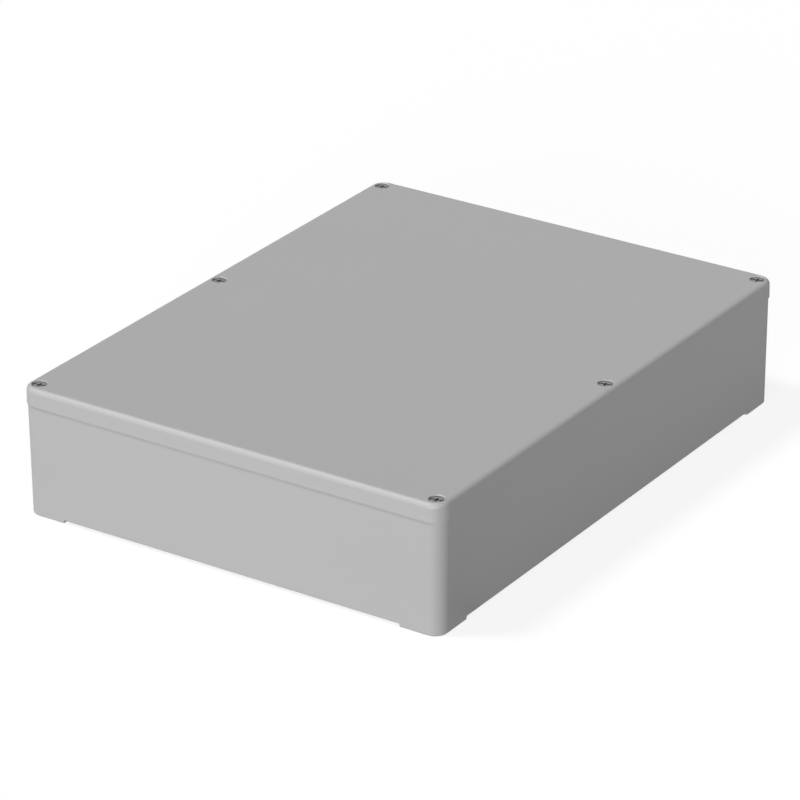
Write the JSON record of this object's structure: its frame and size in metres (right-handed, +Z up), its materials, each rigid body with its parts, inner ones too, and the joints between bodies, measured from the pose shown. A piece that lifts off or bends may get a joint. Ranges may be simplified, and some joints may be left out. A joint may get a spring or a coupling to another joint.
{
  "type": "polycarbonate enclosure",
  "caption": "Shallow rectangular light grey instrument case with a flat screw-down lid, captive edge screws, a gasket and corner feet.",
  "frame": {"origin": "middle of the case in plan, on the surface that its feet stand on", "axes": "+Z up through the lid, +X along the long side, +Y along the short side, front at -Y"},
  "size_m": [0.4, 0.31, 0.088],
  "materials": {
    "polycarbonate": "moulded, fine matt texture, light grey",
    "gasket_rubber": "matt black foam rubber",
    "screw_steel": "turned stainless steel",
    "ring_nylon": "natural nylon, satin",
    "insert_brass": "knurled brass"
  },
  "bodies": {
    "base": {"base": "polycarbonate", "lid_insert_front_left": "insert_brass", "lid_insert_front_middle": "insert_brass", "lid_insert_front_right": "insert_brass", "lid_insert_back_left": "insert_brass", "lid_insert_back_middle": "insert_brass", "lid_insert_back_right": "insert_brass", "plate_insert_front_left": "insert_brass", "plate_insert_front_middle": "insert_brass", "plate_insert_front_right": "insert_brass", "plate_insert_middle_left": "insert_brass", "plate_insert_middle_right": "insert_brass", "plate_insert_back_left": "insert_brass", "plate_insert_back_middle": "insert_brass", "plate_insert_back_right": "insert_brass"},
    "lid": {"lid": "polycarbonate", "lid_gasket": "gasket_rubber"},
    "ring_front_left": {"screw_ring_front_left": "ring_nylon"},
    "screw_front_left": {"lid_screw_front_left": "screw_steel"},
    "ring_front_middle": {"screw_ring_front_middle": "ring_nylon"},
    "screw_front_middle": {"lid_screw_front_middle": "screw_steel"},
    "ring_front_right": {"screw_ring_front_right": "ring_nylon"},
    "screw_front_right": {"lid_screw_front_right": "screw_steel"},
    "ring_back_left": {"screw_ring_back_left": "ring_nylon"},
    "screw_back_left": {"lid_screw_back_left": "screw_steel"},
    "ring_back_middle": {"screw_ring_back_middle": "ring_nylon"},
    "screw_back_middle": {"lid_screw_back_middle": "screw_steel"},
    "ring_back_right": {"screw_ring_back_right": "ring_nylon"},
    "screw_back_right": {"lid_screw_back_right": "screw_steel"}
  },
  "joints": [
    {"name": "lid_lift", "type": "slide", "parent": "base", "child": "lid", "axis": [0, 0, 1], "range_m": [0, 0.1]},
    {"name": "screw_rise_front_left", "type": "slide", "parent": "lid", "child": "ring_front_left", "axis": [0, 0, 1], "range_m": [0, 0.009]},
    {"name": "screw_turn_front_left", "type": "hinge", "parent": "ring_front_left", "child": "screw_front_left", "pos_m": [-0.1907, -0.1466, 0.073], "axis": [0, 0, 1], "range_deg": [0, 4050]},
    {"name": "screw_rise_front_middle", "type": "slide", "parent": "lid", "child": "ring_front_middle", "axis": [0, 0, 1], "range_m": [0, 0.009]},
    {"name": "screw_turn_front_middle", "type": "hinge", "parent": "ring_front_middle", "child": "screw_front_middle", "pos_m": [0, -0.1466, 0.073], "axis": [0, 0, 1], "range_deg": [0, 4050]},
    {"name": "screw_rise_front_right", "type": "slide", "parent": "lid", "child": "ring_front_right", "axis": [0, 0, 1], "range_m": [0, 0.009]},
    {"name": "screw_turn_front_right", "type": "hinge", "parent": "ring_front_right", "child": "screw_front_right", "pos_m": [0.1907, -0.1466, 0.073], "axis": [0, 0, 1], "range_deg": [0, 4050]},
    {"name": "screw_rise_back_left", "type": "slide", "parent": "lid", "child": "ring_back_left", "axis": [0, 0, 1], "range_m": [0, 0.009]},
    {"name": "screw_turn_back_left", "type": "hinge", "parent": "ring_back_left", "child": "screw_back_left", "pos_m": [-0.1907, 0.1466, 0.073], "axis": [0, 0, 1], "range_deg": [0, 4050]},
    {"name": "screw_rise_back_middle", "type": "slide", "parent": "lid", "child": "ring_back_middle", "axis": [0, 0, 1], "range_m": [0, 0.009]},
    {"name": "screw_turn_back_middle", "type": "hinge", "parent": "ring_back_middle", "child": "screw_back_middle", "pos_m": [0, 0.1466, 0.073], "axis": [0, 0, 1], "range_deg": [0, 4050]},
    {"name": "screw_rise_back_right", "type": "slide", "parent": "lid", "child": "ring_back_right", "axis": [0, 0, 1], "range_m": [0, 0.009]},
    {"name": "screw_turn_back_right", "type": "hinge", "parent": "ring_back_right", "child": "screw_back_right", "pos_m": [0.1907, 0.1466, 0.073], "axis": [0, 0, 1], "range_deg": [0, 4050]}
  ],
  "couplings": [
    {"joint": "screw_turn_front_left", "follows": "screw_rise_front_left", "rad_per_m": 7854},
    {"joint": "screw_turn_front_middle", "follows": "screw_rise_front_middle", "rad_per_m": 7854},
    {"joint": "screw_turn_front_right", "follows": "screw_rise_front_right", "rad_per_m": 7854},
    {"joint": "screw_turn_back_left", "follows": "screw_rise_back_left", "rad_per_m": 7854},
    {"joint": "screw_turn_back_middle", "follows": "screw_rise_back_middle", "rad_per_m": 7854},
    {"joint": "screw_turn_back_right", "follows": "screw_rise_back_right", "rad_per_m": 7854}
  ]
}
